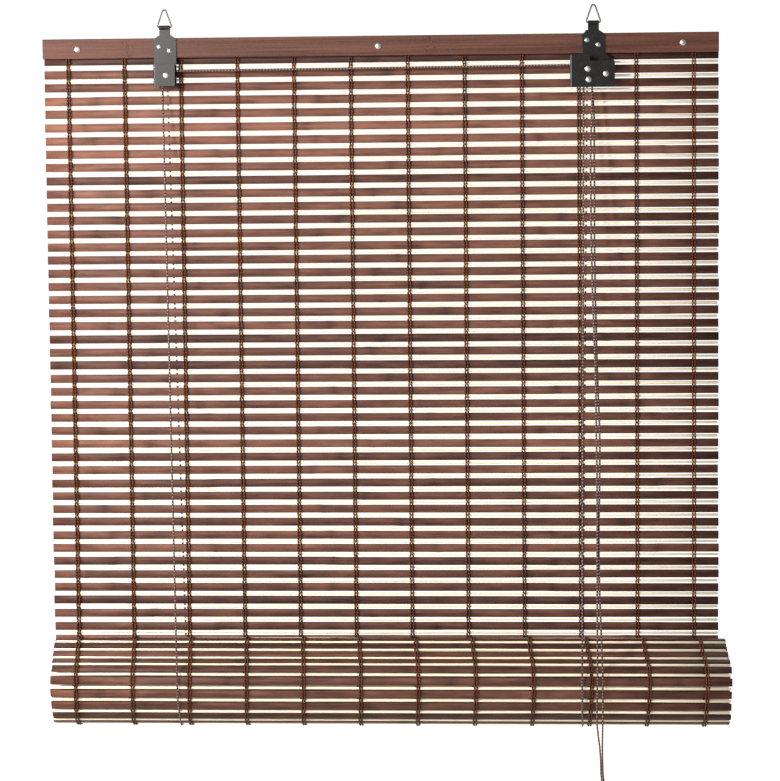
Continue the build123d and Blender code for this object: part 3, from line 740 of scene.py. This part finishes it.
def spiral(roll):
    """The rolled sheet's middle line in the y, z plane. Its distance from the axis is the
    radius, less a bell-shaped dent above the front and a small one below it, plus bells for
    the crest and the sagging underside and a tail that reaches out to the hanging sheet, less
    the turn pitch for each turn after the crest. The bells fade in the inner turns. The line
    ends where it reaches the core."""
    angle = np.linspace(ROLL_START, ROLL_END, ROLL_POINTS)
    seen = (angle - ROLL_START) % 360 + ROLL_START
    swell = bell(seen, roll.crest, *CREST) + bell(seen, roll.sag, *SAG)
    swell = swell - bell(seen, *BACK_HOLLOW)
    hollow = bell(seen, roll.dent, roll.dent_at, roll.dent_spread) + bell(seen, *FRONT_HOLLOW)
    fade = np.clip(1 - (angle - ROUND_FROM) / ROUND_OVER, LEAST_SHAPE, 1)
    inner = np.clip(angle - WIND_FROM, 0, None) / 360 * roll.turn_pitch
    reach = roll.radius + (swell - hollow) * fade + bell(angle, *TAIL) - inner
    last = int(np.argmax(reach < CORE_RADIUS))
    angle, reach = angle[:last], reach[:last]
    turn = np.radians(angle)
    line = ROLL_AXIS + np.stack([-reach * np.cos(turn), reach * np.sin(turn)], axis=1)
    run = np.concatenate([[0], np.cumsum(np.linalg.norm(np.diff(line, axis=0), axis=1))])
    return line, run, angle


LOOK = 0.0008  # how far each way a direction on the spiral is measured


def on_spiral(roll, distance):
    """Points, outward directions and angles at distances along the rolled sheet."""
    line, run, angle = spiral(roll)

    def place(at):
        return np.stack([np.interp(at, run, line[:, i]) for i in (0, 1)], axis=-1)

    along = place(distance + LOOK) - place(distance - LOOK)
    along /= np.linalg.norm(along, axis=-1, keepdims=True)
    outward = np.stack([-along[..., 1], along[..., 0]], axis=-1)
    return place(distance), outward, np.interp(distance, run, angle)


def wander(roll, angle):
    """How far the roll's turns stand to the right: the shift, plus a bell at the front, less
    one over the crest."""
    return roll.shift + bell(angle, 0.0028, 0, 50) - bell(angle, 0.0026, 108, 38)


class BLIND_OT_rolled_weave(bpy.types.Operator):
    """Slats, sticks and warp cords wound round the bottom rail."""

    bl_idname = "blind.rolled_weave"
    bl_label = "Rolled weave"

    def execute(self, context):
        weave, roll, _, colours = settings(context)
        _, run, angle = spiral(roll)
        phase = float(np.interp(roll.front_stick, angle, run)) % weave.pitch
        count = int((run[-1] - phase - 0.008) / weave.pitch)
        at_stick = phase + weave.pitch * np.arange(count)
        at_slat = at_stick + weave.pitch / 2
        point, outward, angle = on_spiral(roll, at_slat)
        shift = wander(roll, angle)[:, None]
        rings, tone, mark = slat_rings(
            point, outward, shift - HALF_WIDTH, shift + HALF_WIDTH, 21, weave
        )
        # The rolled slats' tone is lowered: painted shade on the roll.
        slats = sweep_piece(
            "rolled_slats", rings, shared(stained_bamboo, colours), "roll",
            values={"tone": tone - ROLL_PAINTED_SHADE, "node_mark": mark},
        )
        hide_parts("roll_turns")
        point, outward, angle = on_spiral(roll, at_stick)
        shift = wander(roll, angle)[:, None]
        reach = HALF_WIDTH - ROLLED_TRIM
        rings, tone = stick_rings(point, shift - reach, shift + reach, 22, weave.stick_dia)
        sweep_piece(
            "rolled_sticks", rings, shared(bleached_stick, colours), "roll",
            values={"tone": tone},
        )
        shares = (np.arange(count - 1)[:, None] + STATION_SHARES).reshape(-1)
        distance = at_slat[0] - weave.slat_width / 2 + weave.pitch * shares
        point, outward, angle = on_spiral(roll, distance)
        path = warp_paths(weave, shares, point, outward, wander(roll, angle), 23)
        rings = tube_rings(path, weave.strand_dia / 2, 6, (1, 0, 0))
        sweep_piece(
            "rolled_warps", rings, shared(twisted_thread, colours), "roll",
            values={"stick_glint": stick_glint_share(shares) * ROLL_GLINT},
        )
        return {"FINISHED"}


# ---- Rails and steel ----
class BLIND_OT_rails(bpy.types.Operator):
    """Wood of the headrail and the bottom rail."""

    bl_idname = "blind.rails"
    bl_label = "Rails"

    def execute(self, context):
        colours = settings(context)[3]
        wood = rail_wood(colours)
        for name in ("headrail_front", "headrail_back", "bottom_rail_front", "bottom_rail_back"):
            finish_node(name, wood)
        finish_node("bottom_rail_slat", shared(stained_bamboo, colours))
        return {"FINISHED"}


class BLIND_OT_hardware(bpy.types.Operator):
    """Enamelled brackets, steel wire rings, plated screws and rivets, and the pulleys."""

    bl_idname = "blind.hardware"
    bl_label = "Hardware"

    def execute(self, context):
        colours = settings(context)[3]
        wire = bright_metal(tuple(colours.bare_steel_and_edge_highlight), "steel wire, drawn and bent", 0.25)
        zinc = bright_metal(tuple(colours.zinc), "steel, pressed and bright zinc plated", 0.28)
        brass = bright_metal(tuple(colours.brass), "brass, turned", 0.2)
        plated = (
            "headrail_screws", "left_bracket_screws", "lock_screws", "left_pulley_rivet",
            "lock_pulley_rivet", "lock_anvil_pin", "pawl_rivet", "bottom_rail_screws",
            "lock_pawl",
        )
        for names, material, slot in (
            (("left_bracket", "lock_housing"), black_enamel(colours), "black_steel"),
            (("left_ring", "right_ring"), wire, "black_steel"),
            (plated, zinc, "zinc"),
            (("left_pulley", "lock_pulley"), brass, "pulley_brass"),
        ):
            for name in names:
                finish_node(name, material)
        return {"FINISHED"}


# ---- Cords ----
KNOT_STRAND = 0.0009  # radius of the cord where a knot pulls it tight
KNOT_SIDE = (0.3, 0.2, 0.93)


def cord_piece(name, path, body, material, cords, across=(0, 1, 0), sides=8):
    """A cord's tube along a path."""
    rings = tube_rings(path[None], cords.diameter / 2, sides, across)
    return sweep_piece(name, rings, material, body)


def knot_path(centre, radius):
    """A trefoil: sin t + 2 sin 2t, -1.1 sin 3t and cos t - 2 cos 2t in x, y and z, scaled so
    that a cord along it fills a ball of the given radius."""
    t = np.linspace(0.35, FULL_TURN + 0.25, 48)
    shape = np.stack(
        [np.sin(t) + 2 * np.sin(2 * t), -1.1 * np.sin(3 * t), np.cos(t) - 2 * np.cos(2 * t)],
        axis=1,
    )
    return np.array(centre) + shape / 3 * radius


def knot_piece(name, centres, radius, body, material):
    """One piece of tight knots."""
    paths = np.stack([knot_path(centre, radius) for centre in centres])
    rings = tube_rings(paths, KNOT_STRAND, 6, KNOT_SIDE)
    return sweep_piece(name, rings, material, body)


class BLIND_OT_lift_cords(bpy.types.Operator):
    """Lift cords over the pulleys, down the front, under the roll and up behind."""

    bl_idname = "blind.lift_cords"
    bl_label = "Lift cords"

    def execute(self, context):
        _, _, cords, colours = settings(context)
        braid = shared(braided_cord, colours, cords)
        for name, route in OVER_PULLEYS.items():
            piece = cord_piece(f"{name}_braid", smooth_route(route, 6), "frame", braid, cords)
            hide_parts(name)
        for group, drop in ((LIFT_FRONT, None), (LIFT_BACK, RAIL_BOTTOM_Z)):
            for name, route in group.items():
                path = smooth_route(route, 12)
                piece = cord_piece(f"{name}_braid", path, "frame", braid, cords)
                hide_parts(name)
                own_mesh(piece)
        for name, places in LOOP_X.items():
            path = smooth_route([(x, *yz) for x, yz in zip(places, LOOP_YZ)], 6)
            piece = cord_piece(f"{name}_braid", path, "cord_cradle", braid, cords, (1, 0, 0))
            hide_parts(name)
        places = [(x, 0.0177, -0.0299) for x in (-0.25425, 0.24625)]
        piece = knot_piece("back_knots_braid", places, 0.0021, "frame", braid)
        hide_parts("back_cord_knots")
        return {"FINISHED"}


COIL_CENTRE = np.array([0.2595, -0.0950, -0.9310])
COIL_COLUMNS = 4
COIL_LAYERS = 5
POINTS_A_TURN = 14
LAYER_STEP = 0.00225
COLUMN_STEP = 0.001714
END_KNOT_Z = -0.96435
TIE_Z = -0.9431
TIE_WRAPS = 3
TIE_STRAND = 0.0007


def coil_route(outer_radius, first_y, side, start_angle, end_angle):
    """Points of a neat coil round an axis along Y. Each turn keeps to one layer and moves to
    the next layer near its end; each column runs inwards or outwards, and the next column
    lies beside it, half a layer in, as round cords pack."""
    turns = COIL_COLUMNS * COIL_LAYERS
    total = (turns - 1) * 360 + (start_angle - end_angle) % 360
    steps = int(total / 360 * POINTS_A_TURN)
    turned = np.linspace(0, total, steps)
    number = turned / 360
    whole = np.floor(number)
    ease = np.clip((number - whole - 0.75) / 0.25, 0, 1)
    cell = np.clip(whole, 0, turns - 1)
    following = np.clip(whole + 1, 0, turns - 1)

    def place(index):
        column = np.floor(index / COIL_LAYERS)
        layer = index - column * COIL_LAYERS
        layer = np.where(column % 2 == 0, layer, COIL_LAYERS - 1 - layer)
        inset = np.where(column % 2 == 0, 0.0, LAYER_STEP / 2)
        return outer_radius - inset - layer * LAYER_STEP, first_y + side * column * COLUMN_STEP

    near, far = place(cell), place(following)
    radius = near[0] + (far[0] - near[0]) * ease
    y = near[1] + (far[1] - near[1]) * ease
    angle = np.radians(start_angle - turned)
    x = COIL_CENTRE[0] + radius * np.cos(angle)
    z = COIL_CENTRE[2] + radius * np.sin(angle)
    return np.stack([x, y, z], axis=1)


class BLIND_OT_pull_cords(bpy.types.Operator):
    """The two pull cords, their put-away coil, its tie and the end knots."""

    bl_idname = "blind.pull_cords"
    bl_label = "Pull cords"

    def execute(self, context):
        _, _, cords, colours = settings(context)
        braid = shared(braided_cord, colours, cords)
        for name, route in PULL_UPPER.items():
            path = smooth_route(route, 6)
            piece = cord_piece(f"{name}_braid", path, "frame", braid, cords)
            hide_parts(name)
            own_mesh(piece)

        ends = {
            "pull_cord_a_lower": (-0.1012, 1, 72, -80, (0.2545, -0.0965), ["cord_coil"]),
            "pull_cord_b_lower": (-0.0888, -1, 66, -46, (0.2641, -0.0935), ["cord_ends"]),
        }
        tie = self.tie(braid)
        for name, (first_y, side, start, end, (end_x, end_y), nodes) in ends.items():
            route = list(PULL_LOWER[name])
            coil = coil_route(cords.coil_radius, first_y, side, start, end)
            last_y = coil[-1][1]
            tail = [
                (end_x + 0.0018, (last_y + end_y) / 2, -0.9490),
                (end_x + 0.0002, end_y, -0.9530),
                (end_x, end_y, -0.9618),
            ]
            path = smooth_route(np.array(route + coil.tolist() + tail), 2)
            piece = cord_piece(f"{name}_braid", path, "cord_cradle", braid, cords, sides=7)
            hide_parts(name, *nodes)
            place = (end_x, end_y, END_KNOT_Z)
            knot = knot_piece(f"{name}_knot", [place], 0.0020, "cord_cradle", braid)
        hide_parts("cord_end_knots")
        return {"FINISHED"}

    def tie(self, braid):
        """Three wraps round the coil's lowest part: a rounded box in the y, z plane, from
        signed square roots of the cosine and sine, that steps along X."""
        t = np.linspace(0, TIE_WRAPS * FULL_TURN, 150)
        wave, rise = np.cos(t), np.sin(t)
        y = COIL_CENTRE[1] + 0.0082 * np.sign(wave) * np.abs(wave) ** 0.55
        z = TIE_Z + 0.0077 * np.sign(rise) * np.abs(rise) ** 0.55
        x = COIL_CENTRE[0] - 0.0019 + 0.0038 * t / t[-1]
        path = np.stack([x, y, z], axis=1)
        rings = tube_rings(path[None], TIE_STRAND, 6, (1, 0, 0))
        piece = sweep_piece("cord_tie_wraps", rings, braid, "cord_cradle")
        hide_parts("cord_tie")
        return piece


# ---- Stage ----
CAMERA_PLACE = (0.22416, -3.39326, -0.15626)
CAMERA_TURN = (-0.0868, 0.0096, 0.0630)
LENS = 132.24
FLOOR_Z = -1.70
FLOOR_HALF = 14.0
# Name, place, target, size, power and tint. The key casts the brackets' shadows to the right,
# the strip gives the left bracket its gloss, and the side light fades from left to right.
LIGHTS = (
    ("key", (-0.95, -1.5, 0.18), (-0.3, 0, -0.15), (0.26, 0.26), 27.0, (1, 0.98, 0.95)),
    ("strip", (-0.70, -2.2, 0.05), (-0.2, 0, -0.1), (0.34, 0.7), 5.5, (1, 1, 1)),
    ("side", (-1.8, -0.9, 0.0), (-0.3, 0, -0.15), (0.4, 0.8), 26.0, (1, 0.95, 0.91)),
)


def turn_matrix(x, y, z):
    """Turn about Y, then X, then Z."""
    cx, cy, cz, sx, sy, sz = *np.cos((x, y, z)), *np.sin((x, y, z))
    about_x = np.array([[1, 0, 0], [0, cx, -sx], [0, sx, cx]])
    about_y = np.array([[cy, 0, sy], [0, 1, 0], [-sy, 0, cy]])
    about_z = np.array([[cz, -sz, 0], [sz, cz, 0], [0, 0, 1]])
    return about_z @ about_x @ about_y


def deepen(add, place, near, far, low, high):
    """low up to depth near, rising evenly to high at depth far, along Y of that coordinate."""
    away = add("SeparateXYZ", [add("TexCoord", output=place)], 1)
    ends = {"From Min": near, "From Max": far, "To Min": low, "To Max": high}
    return add("MapRange", {"Value": away, **ends})


def area_light(name, place, target, size, power, tint):
    """A rectangular light at place, aimed at target."""
    light = bpy.data.lights.new(name, "AREA")
    light.shape = "RECTANGLE"
    light.size, light.size_y = size
    light.energy = power
    light.color = tint
    holder = bpy.data.objects.new(name, light)
    bpy.context.collection.objects.link(holder)
    holder.location = place
    aim = np.array(target) - np.array(place)
    holder.rotation_euler = Vector(aim.tolist()).to_track_quat("-Z", "Y").to_euler()


class BLIND_OT_stage(bpy.types.Operator):
    """Pale floor, soft studio light and the camera."""

    bl_idname = "blind.stage"
    bl_label = "Stage"

    def execute(self, context):
        scene = context.scene
        colours = settings(context)[3]
        scene.view_settings.view_transform = "Standard"
        world = bpy.data.worlds.new("studio")
        world.use_nodes = True
        self.light_room(world.node_tree)
        scene.world = world

        corners = [
            (x * FLOOR_HALF, y * FLOOR_HALF, FLOOR_Z)
            for x, y in ((-1, -1), (1, -1), (1, 1), (-1, 1))
        ]
        mesh = bpy.data.meshes.new("floor")
        mesh.from_pydata(corners, [], [(0, 1, 2, 3)])
        mesh.materials.append(self.floor_paint(colours))
        floor = bpy.data.objects.new("floor", mesh)
        bpy.context.collection.objects.link(floor)

        for light in LIGHTS:
            area_light(*light)

        lens = bpy.data.cameras.new("camera")
        lens.sensor_fit = "HORIZONTAL"
        lens.sensor_width = 36.0
        lens.lens = LENS
        lens.clip_start = 0.05
        lens.clip_end = 60.0
        camera = bpy.data.objects.new("camera", lens)
        bpy.context.collection.objects.link(camera)
        turn = turn_matrix(*CAMERA_TURN)
        basis = np.eye(4)
        basis[:3, 0], basis[:3, 1], basis[:3, 2] = turn[:, 0], turn[:, 2], -turn[:, 1]
        basis[:3, 3] = CAMERA_PLACE
        camera.matrix_world = Matrix(basis.tolist())
        scene.camera = camera
        return {"FINISHED"}

    def light_room(self, tree):
        """White behind the blind, where the window is, and softer light from the room."""
        strength = deepen(partial(add_node, tree), "Generated", -0.25, 0.45, 0.21, 1.06)
        feed(tree.nodes["Background"], {"Color": (1.0, 1.0, 1.0), "Strength": strength})

    def floor_paint(self, colours):
        """Matt white paint. It brightens far behind the blind, so that it ends in white."""
        paint, add, shader = new_material("floor, matt white paint")
        feed(shader, {
            "Base Color": colours.floor,
            "Roughness": 0.9,
            "Emission Color": (1.0, 1.0, 1.0),
            "Emission Strength": deepen(add, "Object", 0.4, 3.0, 0.0, 0.75),
        })
        return paint


class BLIND_PT_panel(bpy.types.Panel):
    """Lists the blind's pieces and its stage."""

    bl_label = "Bamboo roll up blind"
    bl_space_type = "VIEW_3D"
    bl_region_type = "UI"
    bl_category = "Blind"

    def draw(self, context):
        for operator in OPERATORS:
            self.layout.operator(operator.bl_idname)


OPERATORS = (
    BLIND_OT_hanging_weave,
    BLIND_OT_rolled_weave,
    BLIND_OT_rails,
    BLIND_OT_hardware,
    BLIND_OT_lift_cords,
    BLIND_OT_pull_cords,
    BLIND_OT_stage,
)
GROUPS = {
    "blind_weave": BlindWeave,
    "blind_roll": BlindRoll,
    "blind_cords": BlindCords,
    "blind_colours": BlindColours,
}


def register():
    for group in GROUPS.values():
        bpy.utils.register_class(group)
    for name, group in GROUPS.items():
        setattr(bpy.types.Scene, name, bpy.props.PointerProperty(type=group))
    for item in (*OPERATORS, BLIND_PT_panel):
        bpy.utils.register_class(item)


def unregister():
    for item in (BLIND_PT_panel, *reversed(OPERATORS)):
        bpy.utils.unregister_class(item)
    for name in GROUPS:
        delattr(bpy.types.Scene, name)
    for group in reversed(list(GROUPS.values())):
        bpy.utils.unregister_class(group)


def main():
    """Builds every piece and the stage."""
    register()
    for operator in OPERATORS:
        getattr(bpy.ops.blind, operator.bl_idname.removeprefix("blind."))()


if __name__ == "__main__":
    main()
